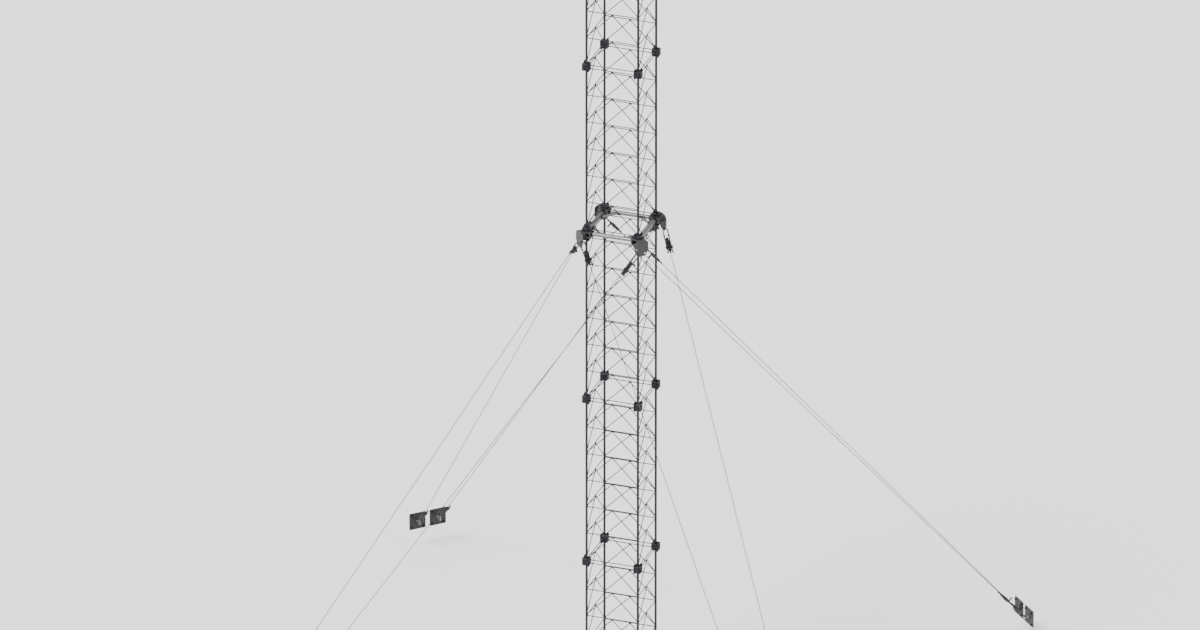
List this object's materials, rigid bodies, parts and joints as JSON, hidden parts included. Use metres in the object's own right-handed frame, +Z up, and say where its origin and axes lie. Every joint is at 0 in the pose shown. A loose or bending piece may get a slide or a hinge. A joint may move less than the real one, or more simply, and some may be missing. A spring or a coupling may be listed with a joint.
{
  "type": "guyed lattice radio mast",
  "caption": "Square lattice mast of bolted sections with a tubular guy frame and taut wire guys to wall anchors.",
  "frame": {"origin": "middle of the base plate's underside, on the mast's vertical axis", "axes": "+Z up along the mast; X and Y along the mast's faces; the guys lie on the diagonals"},
  "size_m": [7.3906, 7.3906, 10.215],
  "materials": {
    "leg_steel": "satin dark slate paint",
    "bracing_steel": "satin dark slate paint",
    "bright_steel": "galvanised",
    "plate_steel": "satin dark grey paint",
    "black_steel": "black coating",
    "wire_rope": "stranded galvanised wire"
  },
  "bodies": {
    "root": {"base_plate": "plate_steel", "base_shoes": "leg_steel", "section_1_legs": "leg_steel", "section_2_legs": "leg_steel", "section_3_legs": "leg_steel", "section_4_legs": "leg_steel", "section_5_legs": "leg_steel", "section_1_front_bracing": "bracing_steel", "section_1_right_bracing": "bracing_steel", "section_1_back_bracing": "bracing_steel", "section_1_left_bracing": "bracing_steel", "section_2_front_bracing": "bracing_steel", "section_2_right_bracing": "bracing_steel", "section_2_back_bracing": "bracing_steel", "section_2_left_bracing": "bracing_steel", "section_3_front_bracing": "bracing_steel", "section_3_right_bracing": "bracing_steel", "section_3_back_bracing": "bracing_steel", "section_3_left_bracing": "bracing_steel", "section_4_front_bracing": "bracing_steel", "section_4_right_bracing": "bracing_steel", "section_4_back_bracing": "bracing_steel", "section_4_left_bracing": "bracing_steel", "section_5_front_bracing": "bracing_steel", "section_5_right_bracing": "bracing_steel", "section_5_back_bracing": "bracing_steel", "section_5_left_bracing": "bracing_steel", "guy_frame_tubes": "bright_steel", "guy_frame_discs": "black_steel", "guy_frame_knees": "bright_steel", "knee_saddles": "black_steel", "corner_brackets": "plate_steel", "guy_plates": "plate_steel", "guy_clamps_front_left": "black_steel", "guy_wires_front_left": "wire_rope", "anchor_plates_front_left": "plate_steel", "guy_clamps_front_right": "black_steel", "guy_wires_front_right": "wire_rope", "anchor_plates_front_right": "plate_steel", "guy_clamps_back_right": "black_steel", "guy_wires_back_right": "wire_rope", "anchor_plates_back_right": "plate_steel", "guy_clamps_back_left": "black_steel", "guy_wires_back_left": "wire_rope", "anchor_plates_back_left": "plate_steel"}
  },
  "joints": []
}
